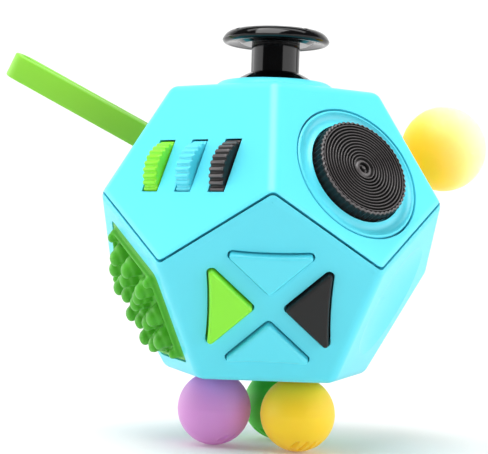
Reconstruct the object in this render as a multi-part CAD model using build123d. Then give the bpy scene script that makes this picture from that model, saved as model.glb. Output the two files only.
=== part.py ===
from build123d import *

import os
from math import asin, atan2, cos, degrees, radians, sin, sqrt

# Twelve-sided fidget toy. A hollow dodecahedron in two moulded halves carries a different
# control on each face. All lengths are in millimetres. The body's centre is where the twelve
# face normals meet; everything is designed about that point and moved onto the standing plane
# when it is written.

# ---- body ----
inradius = 26.0            # centre to face
wall = 2.2                 # shell thickness
edge_round = 2.4           # rounding of the outer edges
seam_step = 0.5            # vertical gap between the two halves
seam_corner = 1.3          # rounding of the zigzag seam's corners
lip_thick = 1.1            # locating lip behind the seam
lip_fit = 0.1
dowel_r = 1.0
dowel_low = 1.2            # the dowels' ends, above the body's centre
dowel_high = 9.2
dowel_ring_r = 26.0
dowel_boss_r = 2.5
face_tilt = degrees(asin(1 / sqrt(5)))      # elevation of the ten side faces
stand_shift = (5.755, 0.0, 39.1)             # body centre above the middle of the footprint

# azimuth of each side face's normal, degrees from +X
upper_faces = {"dial": -54, "side_ball": 18, "switch": 90, "strap": 162, "gears": -126}
lower_faces = {"buttons": -90, "dish": -18, "spinner": 54, "slider": 126, "pad": -162}

# ---- brackets and their screws, all of one size ----
bracket_top = 5.0          # depth of a bracket's mounting surface below the face
bracket_thick = 1.6
standoff_r = 1.7
screw_r = 0.7
screw_bore_r = 0.73
screw_length = 4.8
screw_head_r = 1.35
screw_head_h = 0.8

# ---- thumb wheels ----
wheel_r = 6.25
wheel_slot_gap = 0.3
wheel_width = 3.0
wheel_ribs = 32
wheel_slot_width = 3.5
wheel_depth = 4.0          # axle below the face
wheel_row_v = -0.75
wheel_places = {"green": -7.5, "blue": -0.25, "black": 7.0}
axle_r = 1.0

# ---- turning dial ----
dial_centre = (0.75, -1.1)
bezel_r = 12.3
bezel_seat_r = 12.65
bezel_lip_r = 9.45         # inner edge of the bezel's channel
bezel_tube_r = 10.4
dial_r = 9.1
dial_proud = 2.0
dial_ridges = 11
dial_spindle_r = 2.0

# ---- thumbstick ----
stick_pivot = -7.6         # below the top face
dome_r = 12.0
dome_thick = 1.0
dome_half_angle = 67
stem_r = 4.46
cap_r = 9.9
cap_base = 8.8             # top of the stem above the top face
collar_mouth_r = 9.0
gimbal_r = 6.8
stick_pin_r = 0.8
stick_base = -14.0         # depth of the thumbstick's base plate

# ---- pull strap ----
strap_v = 4.3
strap_width = 4.9
strap_reach = 36.6
strap_thick = 1.3
strap_far_r = 2.8
strap_eye_r = 1.9
strap_pin_r = 0.8
strap_pivot = -2.6

# ---- side ball ----
side_ball_r = 8.1
side_ball_h = 12.8
neck_r = 1.5
root_ball_r = 3.2
root_pivot = -2.6
tip_ball_r = 2.6
tip_pivot = 6.3
ball_seat_gap = 0.1

# ---- rocker switch ----
switch_size = (9.0, 15.0)
rocker_size = (6.6, 12.4)
rocker_pivot = -1.6
rocker_lean = 10.0

# ---- triangular buttons ----
button_centre = (0.1, -1.45)
button_apex = 2.14         # group centre to the sharp apex
button_reach = 10.95
button_mid = 10.45
button_corner_r = 0.9
button_gap = 0.35
button_proud = 1.3
button_flange = 0.7
dome_place = 8.0           # rubber dome from the group centre

# ---- silicone pad ----
pad_corner_r = 15.1        # centre to corner of the opening
pad_centre = (-0.45, -0.8)
pad_flange_r = 15.8
pad_plate_r = 12.6
pad_screw_ring_r = 16.0
pad_floor = -1.9
nub_r = 2.05
nub_h = 5.1

# ---- spinner, slider and dish ----
rotor_r = 11.2
bearing_r = 5.4
post_r = 2.0
slider_slot = (13.0, 4.4)
slider_travel = 3.5
dish_r = 11.0
dish_depth = 1.6

# ---- silicone balls under the body ----
ball_r = 6.7
ball_h = 6.4
ball_ring_r = 9.24
ball_places = {"purple": 191, "yellow": -49, "green": 71}
ball_press = 1.0
ball_stem_r = 1.5


# ---------------------------------------------------------------- frames and small helpers

def face_normal(azimuth, elevation):
    flat = cos(radians(elevation))
    return Vector(flat * cos(radians(azimuth)), flat * sin(radians(azimuth)), sin(radians(elevation)))


def seat(azimuth, elevation):
    """Frame on a side face: z outward, y up the face, x to the right as seen from outside."""
    normal = face_normal(azimuth, elevation)
    up = (Vector(0, 0, 1) - normal * normal.Z).normalized()
    return Plane(origin=normal * inradius, x_dir=up.cross(normal), z_dir=normal).location


top_seat = Pos(0, 0, inradius)
bottom_seat = Plane(origin=(0, 0, -inradius), x_dir=(1, 0, 0), z_dir=(0, 0, -1)).location
seats = {name: seat(azimuth, face_tilt) for name, azimuth in upper_faces.items()}
seats.update({name: seat(azimuth, -face_tilt) for name, azimuth in lower_faces.items()})


def rod(radius, low, high, x=0.0, y=0.0):
    """Upright round bar between two heights."""
    return Pos(x, y, (low + high) / 2) * Cylinder(radius, high - low)


def block(width, depth, low, high, x=0.0, y=0.0):
    """Upright rectangular block between two heights."""
    return Pos(x, y, (low + high) / 2) * Box(width, depth, high - low)


def rod_x(radius, x0, x1, y, z):
    return Pos((x0 + x1) / 2, y, z) * Rot(0, 90, 0) * Cylinder(radius, x1 - x0)


def rod_y(radius, y0, y1, x, z):
    return Pos(x, (y0 + y1) / 2, z) * Rot(90, 0, 0) * Cylinder(radius, y1 - y0)


def turned(points):
    """Solid of revolution from (radius, height) points."""
    return revolve(make_face(Plane.XZ * Polyline(*points, close=True)), Axis.Z)


def standoff(x, y, depth=bracket_top):
    return rod(standoff_r, -depth, -wall + 0.4, x, y)


def standoff_bore(x, y, depth=bracket_top):
    return rod(screw_bore_r, -depth - 0.1, -depth + screw_length - bracket_thick + 0.2, x, y)


def bracket_hole(x, y, depth=bracket_top):
    return rod(screw_bore_r + 0.05, -depth - bracket_thick - 0.1, -depth + 0.1, x, y)


def bracket_screw(x, y, depth=bracket_top):
    """Pan-head screw driven outward through a bracket into its standoff."""
    under = -depth - bracket_thick
    head = rod(screw_head_r, under - screw_head_h, under)
    head = fillet(head.edges().group_by(Axis.Z)[0], 0.3)
    cross = block(1.5, 0.32, under - screw_head_h - 0.1, under - screw_head_h + 0.4)
    screw = head + rod(screw_r, under - 0.1, under + screw_length) - cross - Rot(0, 0, 90) * cross
    return Pos(x, y, 0) * screw


# ---------------------------------------------------------------- body shells

def dodecahedron(size):
    """Regular dodecahedron standing on a face, from its inradius."""
    solid = Box(4 * size, 4 * size, 2 * size)
    for elevation, azimuths in ((face_tilt, upper_faces), (-face_tilt, lower_faces)):
        for azimuth in azimuths.values():
            outward = Plane(origin=face_normal(azimuth, elevation) * size,
                            z_dir=face_normal(azimuth, elevation)).location
            solid -= outward * Pos(0, 0, 2 * size) * Box(8 * size, 8 * size, 4 * size)
    return solid


def seam_region(lift):
    """Everything below the zigzag seam, raised by a lift. The seam runs along ten edges."""
    ring_r = inradius * 1.2361
    ring_z = inradius * 0.23607
    spread = 1.9
    rim = []
    for k in range(10):
        angle = radians(-90 + 36 * k)
        height = ring_z if k % 2 == 0 else -ring_z
        rim.append(Vector(ring_r * cos(angle), ring_r * sin(angle), height) * spread)
    foot = Vector(0, 0, -6 * inradius)
    faces = []
    for k in range(10):
        one, two = rim[k], rim[(k + 1) % 10]
        faces.append(Face(Wire.make_polygon([Vector(0, 0, 0), one, two])))
        faces.append(Face(Wire.make_polygon([foot, two, one])))
    region = Solid(Shell(faces))
    region = region - Sphere(0.55 * inradius)
    corners = [edge for edge in region.edges() if radial(edge)]
    return Pos(0, 0, lift) * fillet(corners, seam_corner)


def radial(edge):
    """True for an edge that points at the body's centre, above its foot."""
    one, two = edge @ 0, edge @ 1
    level = max(abs(one.Z), abs(two.Z)) < 0.6 * inradius
    return edge.geom_type == GeomType.LINE and one.cross(two).length < 0.5 and level


def dowel_places():
    return [(dowel_ring_r * cos(radians(a)), dowel_ring_r * sin(radians(a)))
            for a in lower_faces.values()]


def dowel_bosses(cavity):
    """Five upright bosses in the corners where three faces meet at the seam."""
    bosses = [rod(dowel_boss_r, 0, 14, x, y) for x, y in dowel_places()]
    return [boss & cavity for boss in bosses]


def shell_dowels():
    return Compound(children=[rod(dowel_r, dowel_low, dowel_high, x, y) for x, y in dowel_places()])


def collar_profile():
    """Raised smooth collar round the thumbstick, cut by the dome's ball-shaped seat."""
    rise = make_face(Plane.XZ * (
        Line((0, -1), (12.6, -1)) + Line((12.6, -1), (12.6, 0))
        + Spline((12.6, 0), (11.3, 0.45), (10.5, 1.2), (9.7, 1.66), (8.4, 1.7),
                 tangents=[(-1, 0.0), (-1, 0)])
        + Line((8.4, 1.7), (0, 1.7)) + Line((0, 1.7), (0, -1))))
    return revolve(rise, Axis.Z)


def body_halves():
    outside = fillet(dodecahedron(inradius).edges(), edge_round)
    cavity = dodecahedron(inradius - wall)
    hollow = outside - cavity
    bosses = dowel_bosses(cavity)
    hollow = hollow.fuse(*bosses)
    for x, y in dowel_places():
        hollow -= rod(dowel_r, dowel_low - 0.1, dowel_high + 0.1, x, y)

    below = seam_region(0)
    lower = hollow & below
    upper = hollow - seam_region(seam_step)

    inner = dodecahedron(inradius - wall - lip_thick)
    lip_root = ((dodecahedron(inradius - wall + 0.05) - inner) & below) - seam_region(-0.8)
    lip_tongue = ((dodecahedron(inradius - wall - lip_fit) - inner) & seam_region(1.5)) - seam_region(-0.5)
    lip = lip_root + lip_tongue
    for x, y in dowel_places():
        lip -= rod(dowel_boss_r + 0.4, -8, 14, x, y)
    lower = lower.fuse(lip)

    for name in upper_faces:
        upper = apply_face(upper, seats[name], *face_features[name]())
    upper = apply_face(upper, top_seat, *stick_features())
    for name in lower_faces:
        lower = apply_face(lower, seats[name], *face_features[name]())
    lower = apply_face(lower, bottom_seat, *bottom_features())
    return upper, lower


def apply_face(shell, place, added, cut):
    """Fuse one face's bosses to a shell and cut its openings."""
    if added:
        shell = shell.fuse(*[place * piece for piece in added])
    for piece in cut:
        shell -= place * piece
    return shell


# ---------------------------------------------------------------- thumb wheels

gear_screws = [(-0.25, 9.1), (-0.25, -10.4)]


def gear_features():
    slots = []
    for x in wheel_places.values():
        half = wheel_slot_width / 2
        slots.append(rod_x(wheel_r + wheel_slot_gap, x - half, x + half, wheel_row_v, -wheel_depth))
    return [standoff(*p) for p in gear_screws], slots + [standoff_bore(*p) for p in gear_screws]


def gear_wheel(x):
    wheel = chamfer(Cylinder(wheel_r, wheel_width).edges(), 0.25)
    notch = Cylinder(0.36, wheel_width + 1)
    wheel -= PolarLocations(wheel_r + 0.12, wheel_ribs) * notch
    wheel -= Cylinder(axle_r + 0.05, wheel_width + 1)
    return Pos(x, wheel_row_v, -wheel_depth) * Rot(0, 90, 0) * wheel


def gear_axle():
    return rod_x(axle_r, -11.4, 10.9, wheel_row_v, -wheel_depth)


def gear_cradle():
    """Plate with a window for each wheel and four ears that carry the axle."""
    plate = block(24.0, 16.4, -bracket_top - bracket_thick, -bracket_top, -0.25, wheel_row_v)
    for x, y in gear_screws:
        plate += block(5.0, 6.0, -bracket_top - bracket_thick, -bracket_top, x, y * 0.86)
        plate += rod(2.5, -bracket_top - bracket_thick, -bracket_top, x, y)
    for x in wheel_places.values():
        plate -= block(wheel_width + 0.8, 13.6, -12, 0, x, wheel_row_v)
    for x in (-10.7, -3.875, 3.375, 10.2):
        plate += block(1.8, 6.0, -bracket_top - 0.2, -2.5, x, wheel_row_v)
    plate -= rod_x(axle_r + 0.03, -14, 14, wheel_row_v, -wheel_depth)
    for p in gear_screws:
        plate -= bracket_hole(*p)
    return plate


# ---------------------------------------------------------------- turning dial

def dial_features():
    cut = rod(bezel_seat_r, -1.5, 1) + rod(bezel_tube_r + 0.1, -6, 0)
    return [], [Pos(*dial_centre, 0) * cut]


def at_dial(shape):
    return Pos(*dial_centre, 0) * shape


def dial_bezel():
    """Ring with a hollow channel in its face, and a floor with the spindle's bush."""
    outline = make_face(Plane.XZ * (
        Polyline((bezel_r, -0.15), (bezel_r, -1.4), (bezel_tube_r, -1.4), (bezel_tube_r, -5.4),
                 (9.6, -5.4), (9.6, -3.8), (3.4, -3.8), (3.4, -6.2), (dial_spindle_r + 0.05, -6.2),
                 (dial_spindle_r + 0.05, -2.6), (bezel_lip_r, -2.6), (bezel_lip_r, -0.1))
        + ThreePointArc((bezel_lip_r, -0.1), (10.7, -0.75), (11.9, 0.0))
        + Polyline((11.9, 0.0), (12.15, 0.0), (bezel_r, -0.15))))
    ring = revolve(outline, Axis.Z)
    groove = rod(bezel_tube_r + 1, -3.15, -2.25) - rod(bezel_tube_r - 0.45, -5, -2)
    return at_dial(ring - groove)


def dial_disc():
    """Ridged disc with a knurled rim and a spindle."""
    pitch = (dial_r - 1.1) / dial_ridges
    top = [(dial_r, dial_proud - 0.5), (dial_r - 0.35, dial_proud)]
    for k in range(dial_ridges):
        crest = dial_r - 0.55 - k * pitch
        top += [(crest - pitch * 0.35, dial_proud - 0.3), (crest - pitch * 0.65, dial_proud - 0.3),
                (crest - pitch, dial_proud)]
    inside = top[-1][0]
    profile = [(0, -7.2), (dial_spindle_r, -7.2), (dial_spindle_r, -2.2), (8.7, -2.2), (8.7, -0.9),
               (dial_r, -0.5)] + top + [(inside * 0.4, dial_proud), (0, dial_proud + 0.1)]
    disc = turned(profile)
    notch = rod(0.2, -0.4, dial_proud + 1)
    disc -= PolarLocations(dial_r + 0.08, 60) * notch
    click = rod(0.35, -2.3, -2.0)
    disc -= PolarLocations(7.6, 24) * click
    return at_dial(disc - rod(0.83, -8, -2.8))


def dial_washer():
    return at_dial(rod(3.3, -7.1, -6.35) - rod(dial_spindle_r + 0.02, -8, -6))


def dial_screw():
    head = fillet(rod(2.7, -8.3, -7.22).edges().group_by(Axis.Z)[0], 0.4)
    slot = block(4.0, 0.5, -8.4, -7.9)
    return at_dial(head + rod(0.8, -7.3, -3.2) - slot)


def dial_retaining_clip():
    ring = rod(bezel_tube_r + 0.8, -3.1, -2.3) - rod(bezel_tube_r - 0.4, -5, -2)
    return at_dial(ring - block(6, 8, -5, -2, bezel_tube_r, 0))


def dial_click_spring():
    """Thin sprung arc on the bezel's floor with a bump that clicks in the disc's dimples."""
    strip = rod(8.2, -2.58, -2.36) - rod(7.0, -3, -2)
    strip &= block(20, 10, -3, -2, 0, 5.5)
    return at_dial(strip)


# ---------------------------------------------------------------- thumbstick

stick_posts = [(14.0 * cos(radians(a)), 14.0 * sin(radians(a))) for a in (-90, 54, 198)]


def stick_features():
    added = [collar_profile()] + [standoff(x, y, -stick_base) for x, y in stick_posts]
    seat_ball = Pos(0, 0, stick_pivot) * Sphere(dome_r + 0.3)
    mouth = turned([(0, -3), (collar_mouth_r, -3), (collar_mouth_r, 0.9), (collar_mouth_r + 0.5, 1.75),
                    (collar_mouth_r + 0.5, 3), (0, 3)])
    cut = [seat_ball & rod(14, stick_pivot + 1, 6), mouth]
    return added, cut + [standoff_bore(x, y, -stick_base) for x, y in stick_posts]


def joystick_stem():
    """Dome, stem and the post that hangs at the pivot."""
    rim_z = dome_r * cos(radians(dome_half_angle))
    dome = Sphere(dome_r) - Sphere(dome_r - dome_thick)
    dome &= rod(dome_r + 1, rim_z, dome_r + 1)
    dome = dome + rod(2.3, -2.4, dome_r - 0.5) + rod(3.4, -3.0, -2.3)
    top = cap_base - stick_pivot
    stem = rod(stem_r, dome_r - 2.4, top) - rod(2.6, top - 4, top + 1)
    stem -= Sphere(dome_r - dome_thick) - rod(2.3, -3, 12)
    stick = dome + stem - rod_y(stick_pin_r, -9, 9, 0, 0)
    return Pos(0, 0, stick_pivot) * stick


def joystick_cap():
    """Wide thumb cap with a thick rounded rim, hollow below, on a plug in the stem."""
    section = make_face(Plane.XZ * (
        Polyline((0, 10.7), (0, 5.2), (2.55, 5.2), (2.55, cap_base), (stem_r + 1.6, cap_base),
                 (stem_r + 2.6, 9.25), (8.6, 8.95))
        + ThreePointArc((8.6, 8.95), (9.55, 8.98), (cap_r, 9.5))
        + ThreePointArc((cap_r, 9.5), (9.2, 10.6), (7.3, 11.2))
        + ThreePointArc((7.3, 11.2), (4.2, 10.85), (1.2, 10.7)) + Line((1.2, 10.7), (0, 10.7))))
    cap = revolve(section, Axis.Z)
    notch = Pos(8.9, 0, 11.15) * Rot(0, 90, 0) * Cylinder(0.55, 3.2)
    for k in range(4):
        cap -= Rot(0, 0, -53 + 90 * k - 90) * notch
    return cap


def joystick_gimbal():
    ring = Cylinder(gimbal_r, 3.0) - Cylinder(4.6, 4)
    ring += rod_x(0.9, gimbal_r - 0.4, 8.9, 0, 0) + rod_x(0.9, -8.9, -gimbal_r + 0.4, 0, 0)
    ring -= rod_y(stick_pin_r + 0.04, -8, 8, 0, 0)
    return Pos(0, 0, stick_pivot) * ring


def joystick_pin():
    return Pos(0, 0, stick_pivot) * rod_y(stick_pin_r, -gimbal_r + 0.3, gimbal_r - 0.3, 0, 0)


def joystick_housing():
    """Base plate on three standoffs, with two posts for the gimbal's trunnions."""
    low, high = stick_base - bracket_thick, stick_base
    plate = rod(9.7, low, high)
    for x, y in stick_posts:
        angle = degrees(atan2(y, x))
        plate += Rot(0, 0, angle) * block(14.0, 4.4, low, high, 7.0, 0) + rod(2.2, low, high, x, y)
    for side in (-1, 1):
        plate += block(1.6, 4.2, high - 0.2, stick_pivot + 1.9, side * 8.2, 0)
    plate -= rod_x(0.93, -10, 10, 0, stick_pivot)
    plate += rod(1.6, high - 0.1, high + 1.6)
    for x, y in stick_posts:
        plate -= bracket_hole(x, y, -stick_base)
    return plate


def joystick_spring():
    """Compression spring that stands the stick upright."""
    wire, radius = 0.3, 2.3
    low = stick_base + wire + 0.02
    high = stick_pivot - 3.0 - wire - 0.05
    path = Helix(pitch=(high - low) / 3.5, height=high - low, radius=radius)
    section = Plane(origin=path @ 0, z_dir=path % 0) * Circle(wire)
    return Pos(0, 0, low) * sweep(section, path=path)


# ---------------------------------------------------------------- pull strap

strap_screws = [(-7.0, strap_v), (7.0, strap_v)]


def long_loop(root_r, root_h, far_r, far_h):
    """Outline of a band round two circles: straight tangents between round ends."""
    lean = asin((far_r - root_r) / (far_h - root_h))
    sides = []
    for side, order in ((1, 1), (-1, -1)):
        pair = [(side * root_r * cos(lean), root_h - root_r * sin(lean)),
                (side * far_r * cos(lean), far_h - far_r * sin(lean))]
        sides += pair[::order]
    body = make_face(Polyline(*sides, close=True))
    return body + Pos(0, root_h) * Circle(root_r) + Pos(0, far_h) * Circle(far_r)


def at_strap(shape):
    return Pos(0, strap_v, 0) * shape


def strap_features():
    pad = block(11.0, 13.0, -4.2, -wall + 0.2)
    slot = block(2 * strap_eye_r + 0.6, strap_width + 0.6, -5, 1)
    half_in, half_out, half_v = strap_eye_r + 0.3, 3.8, strap_width / 2 + 0.3
    flare = make_face(Plane.XZ * Polyline((-half_in, -2.9), (half_in, -2.9), (half_out, 0.05),
                                          (-half_out, 0.05), close=True))
    flare = Pos(0, half_v, 0) * extrude(flare, 2 * half_v)
    groove = rod_y(strap_pin_r + 0.03, -5, 5, 0, strap_pivot)
    groove += block(2 * strap_pin_r + 0.06, 10, -5, strap_pivot)
    added = [at_strap(pad)] + [standoff(*p) for p in strap_screws]
    return added, [at_strap(slot + flare + groove)] + [standoff_bore(*p) for p in strap_screws]


def strap_loop():
    far = strap_reach - strap_far_r
    band = long_loop(strap_eye_r, strap_pivot, strap_far_r, far)
    band -= long_loop(0.3, 4.0, strap_far_r - strap_thick, far)
    band -= Pos(0, strap_pivot) * Circle(strap_pin_r + 0.04)
    loop = extrude(Plane.XZ * band, strap_width / 2, both=True)
    return at_strap(loop)


def strap_pin():
    return at_strap(rod_y(strap_pin_r, -4.8, 4.8, 0, strap_pivot))


def strap_keeper():
    """Plate that traps the strap's pin in its groove."""
    low = -bracket_top - bracket_thick
    plate = block(18.2, 9.6, low, -bracket_top)
    for side in (-1, 1):
        plate += block(1.5, 1.6, -bracket_top - 0.1, strap_pivot - strap_pin_r, 0, side * 3.9)
    plate = at_strap(plate)
    for p in strap_screws:
        plate -= bracket_hole(*p)
    return plate


# ---------------------------------------------------------------- side ball on its neck

side_ball_screws = [(-8.0, 0), (8.0, 0)]


def side_ball_features():
    cut = Pos(0, 0, root_pivot) * Sphere(root_ball_r + ball_seat_gap)
    mouth = turned([(0, -1.2), (2.7, -1.2), (2.7, -0.9), (3.6, 0.1), (0, 0.1)])
    added = [rod(5.2, root_pivot, -wall + 0.1)] + [standoff(*p) for p in side_ball_screws]
    return added, [cut, mouth] + [standoff_bore(*p) for p in side_ball_screws]


def side_ball_neck():
    neck = Pos(0, 0, root_pivot) * Sphere(root_ball_r) + Pos(0, 0, tip_pivot) * Sphere(tip_ball_r)
    return neck + rod(neck_r, root_pivot, tip_pivot)


def side_ball():
    ball = Pos(0, 0, side_ball_h) * Sphere(side_ball_r)
    ball -= Pos(0, 0, tip_pivot) * Sphere(tip_ball_r + ball_seat_gap)
    return ball - turned([(0, 3), (2.9, 3), (2.3, 5.1), (0, 5.1)])


def side_ball_socket():
    """Cup behind the wall that closes the seat of the neck's root ball."""
    low = -bracket_top - bracket_thick
    cup = rod(5.2, low, root_pivot - 0.1) + block(20.0, 5.2, low, -bracket_top)
    cup -= Pos(0, 0, root_pivot) * Sphere(root_ball_r + ball_seat_gap)
    for p in side_ball_screws:
        cup -= bracket_hole(*p)
    return cup


# ---------------------------------------------------------------- rocker switch

def switch_features():
    width, length = switch_size
    opening = block(width, length, -5, 1)
    ledge = fillet(block(width + 3, length + 3, -0.7, 1).edges().filter_by(Axis.Z), 1.5)
    return [], [opening, ledge]


def switch_frame():
    width, length = switch_size
    flange = fillet(block(width + 2.8, length + 2.8, -0.65, 0.7).edges().filter_by(Axis.Z), 1.4)
    flange = fillet(flange.edges().group_by(Axis.Z)[-1], 0.4)
    well = block(width - 0.2, length - 0.2, -6.2, -0.3)
    hollow = block(rocker_size[0] + 0.6, rocker_size[1] + 0.8, -5.2, 1.5)
    frame = flange + well - hollow - rod_x(0.83, -4.2, 4.2, 0, rocker_pivot)
    for side in (-1, 1):
        frame += block(4.0, 0.7, -4.4, -wall - 0.1, 0, side * (length / 2 + 0.2))
    return frame


def switch_rocker():
    """Rocker with a shallow V top, set down at one end."""
    width, length = rocker_size
    half, low = length / 2, -1.6
    side = make_face(Plane.YZ * (
        Polyline((-half, 0.9), (-half, low), (-1.6, low - 0.4), (1.6, low - 0.4), (half, low), (half, 0.9))
        + ThreePointArc((half, 0.9), (0, -0.2), (-half, 0.9))))
    body = extrude(side, width / 2, both=True)
    body = fillet(body.edges().group_by(Axis.X)[0] + body.edges().group_by(Axis.X)[-1], 0.3)
    body = Pos(0, 0, 1.0) * body
    body = body + rod_x(1.3, -width / 2, width / 2, 0, 0) - rod_x(0.84, -6, 6, 0, 0)
    return Pos(0, 0, rocker_pivot) * Rot(-rocker_lean, 0, 0) * body


def switch_pin():
    return rod_x(0.8, -4.15, 4.15, 0, rocker_pivot)


def switch_leaf_spring():
    """Bent strip in the bottom of the well that snaps the rocker over."""
    arch = make_face(Plane.YZ * (
        ThreePointArc((-4.6, -5.1), (0, -4.35), (4.6, -5.1)) + Line((4.6, -5.1), (4.2, -5.15))
        + ThreePointArc((4.2, -5.15), (0, -4.55), (-4.2, -5.15)) + Line((-4.2, -5.15), (-4.6, -5.1))))
    return extrude(arch, 1.6, both=True)


# ---------------------------------------------------------------- triangular buttons

button_turns = {"top": 0, "left": 90, "bottom": 180, "right": 270}


def at_button(turn, shape):
    return Pos(*button_centre, 0) * Rot(0, 0, turn) * shape


def button_outline(grow):
    """Triangle with its apex toward the group's centre and a hollowed outer edge."""
    half = button_reach - button_apex
    sides = Polyline((-half, button_reach), (0, button_apex), (half, button_reach))
    outer = ThreePointArc((half, button_reach), (0, button_mid), (-half, button_reach))
    shape = fillet(make_face(sides + outer).vertices(), button_corner_r)
    return offset(shape, grow) if grow else shape


def button_features():
    cuts = [at_button(turn, extrude(button_outline(0), -5, both=True)) for turn in button_turns.values()]
    boss = rod(1.45, -bracket_top, -wall + 0.4)
    return [at_button(0, boss)], cuts + [standoff_bore(*button_centre)]


def button(turn):
    skirt_top = -wall - 0.12
    cap = extrude(Pos(0, 0, skirt_top) * button_outline(-button_gap), button_proud - skirt_top)
    cap = fillet(cap.edges().group_by(Axis.Z)[-1], 0.6)
    flange = extrude(Pos(0, 0, skirt_top - 0.8) * button_outline(button_flange - button_gap), 0.8)
    plunger = rod(1.6, skirt_top - 1.7, skirt_top - 0.7, 0, dome_place)
    return at_button(turn, cap + flange + plunger)


def button_dome(turn):
    """Hollow rubber dome that returns a button."""
    outer = turned([(0, -4.1), (1.6, -4.1), (2.6, -5.5), (2.6, -5.95), (0, -5.95)])
    inner = turned([(0, -4.6), (1.2, -4.6), (2.1, -5.6), (2.1, -6.2), (0, -6.2)])
    return at_button(turn, Pos(0, dome_place, 0) * (outer - inner))


def button_tray():
    plate = rod(10.9, -7.4, -6.0) + rod(2.4, -6.1, -5.0)
    for turn in button_turns.values():
        plate -= Rot(0, 0, turn + 45) * rod(1.6, -8, -5, 9.4, 0)
    return at_button(0, plate - rod(0.78, -8, -4) - rod(1.5, -8, -6.6))


# ---------------------------------------------------------------- silicone pad

pad_screws = [(pad_screw_ring_r * cos(radians(a)), pad_screw_ring_r * sin(radians(a)))
              for a in (18, 162, -54)]


def pentagon(corner_r, round_r):
    return fillet(RegularPolygon(corner_r, 5, rotation=90).vertices(), round_r)


def pad_prism(corner_r, round_r, low, high):
    return Pos(*pad_centre, low) * extrude(pentagon(corner_r, round_r), high - low)


def pad_features():
    opening = pad_prism(pad_corner_r + 0.15, 1.4, -wall - 0.05, 1)
    return [standoff(x, y) for x, y in pad_screws], [opening] + [standoff_bore(*p) for p in pad_screws]


def nub():
    """Soft cone with a rounded tip."""
    section = make_face(Plane.XZ * (
        Polyline((0, nub_h), (0, -0.2), (nub_r, -0.2), (nub_r, 0.3))
        + Spline((nub_r, 0.3), (1.75, 1.7), (1.35, 3.3), (0.8, 4.7), (0, nub_h),
                 tangents=[(-0.05, 1), (-1, 0)])))
    return revolve(section, Axis.Z)


def dowel_clearance():
    """Room behind the wall for the dowel boss in the pad's upper corner."""
    return block(6.2, 7.4, -8, -wall - 0.05, 0, 13.4)


def nub_places():
    """One at the centre, then two rings that follow the pentagon."""
    places = [(0.0, 0.0)]
    for k in range(5):
        angle = radians(90 + 72 * k)
        places.append((5.0 * cos(angle), 5.0 * sin(angle)))
    for k in range(10):
        angle = radians(90 + 36 * k)
        reach = 10.0 if k % 2 == 0 else 8.6
        places.append((reach * cos(angle), reach * sin(angle)))
    return places


def textured_pad():
    pad = pad_prism(pad_corner_r - 0.05, 1.3, -3.3, -0.05)
    pad += pad_prism(pad_flange_r, 1.6, -3.3, -wall - 0.1)
    pad -= pad_prism(pad_corner_r - 1.6, 1.0, pad_floor, 1)
    pad += pad_prism(pad_corner_r - 2.4, 0.9, pad_floor - 0.1, pad_floor + 0.5) \
        - pad_prism(pad_corner_r - 3.0, 0.8, pad_floor - 1, pad_floor + 1)
    for x, y in pad_screws:
        pad -= rod(standoff_r + 0.2, -4, -wall, x, y)
    pad -= dowel_clearance()
    for x, y in nub_places():
        pad += Pos(*pad_centre, 0) * Pos(x, y, pad_floor) * nub()
    return pad


def pad_backing_plate():
    plate = pad_prism(pad_plate_r, 1.6, -bracket_top - bracket_thick, -3.4)
    low = -bracket_top - bracket_thick
    for x, y in pad_screws:
        plate += rod(2.0, low, -bracket_top, x, y)
        plate += Rot(0, 0, degrees(atan2(y, x))) * block(6.0, 3.4, low, -bracket_top, 12.8, 0)
        plate -= rod(standoff_r + 0.2, -bracket_top, -3, x, y) + bracket_hole(x, y)
    plate -= dowel_clearance()
    return plate


# ---------------------------------------------------------------- worry dish

def dish_features():
    backing = rod(dish_r + 1.4, -4.0, -wall + 0.2)
    sphere_r = (dish_r ** 2 + dish_depth ** 2) / (2 * dish_depth)
    return [backing], [Pos(0, 0, sphere_r - dish_depth) * Sphere(sphere_r)]


# ---------------------------------------------------------------- spinner

def spinner_features():
    pocket = rod(rotor_r + 0.8, -1.3, 1)
    return [rod(5.0, -3.6, -wall + 0.2)], [pocket, rod(post_r + 0.02, -6, 0)]


def spinner_post():
    """Fixed post with a shoulder under the bearing and a riveted foot."""
    return rod(post_r, -4.4, 2.6) + rod(3.0, -1.3, -0.6) + rod(3.4, -4.4, -3.6)


def spinner_bearing_inner():
    ring = rod(3.0, -0.6, 2.4) - rod(post_r + 0.02, -1, 3)
    return ring - Pos(0, 0, 0.9) * Torus(3.7, 0.92)


def spinner_bearing_outer():
    ring = rod(bearing_r, -0.6, 2.4) - rod(4.4, -1, 3)
    return ring - Pos(0, 0, 0.9) * Torus(3.7, 0.92)


def spinner_bearing_balls():
    return Compound(children=[Pos(0, 0, 0.9) * place * Sphere(0.88) for place in PolarLocations(3.7, 8)])


def spinner_rotor():
    """Three-lobed rotor pressed on the bearing's outer ring."""
    lobe = Pos(6.9, 0, 0) * Circle(4.3)
    plan = Circle(6.9) + [Rot(0, 0, 120 * k + 30) * lobe for k in range(3)]
    rotor = fillet(extrude(Pos(0, 0, -0.6) * plan, 3.0).edges().group_by(Axis.Z)[-1], 0.5)
    rotor -= rod(bearing_r, -2, 4)
    for k in range(3):
        rotor -= Rot(0, 0, 120 * k + 30) * rod(2.1, -2, 4, 7.6, 0)
    return rotor


def spinner_weights():
    """Three steel slugs pressed in the rotor's lobes."""
    slug = chamfer(rod(2.1, -0.5, 2.3).edges(), 0.2)
    return Compound(children=[Rot(0, 0, 120 * k + 30) * Pos(7.6, 0, 0) * slug for k in range(3)])


def spinner_cap():
    cap = fillet(rod(4.9, 2.65, 3.7).edges().group_by(Axis.Z)[-1], 0.5)
    return cap


# ---------------------------------------------------------------- slider

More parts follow.
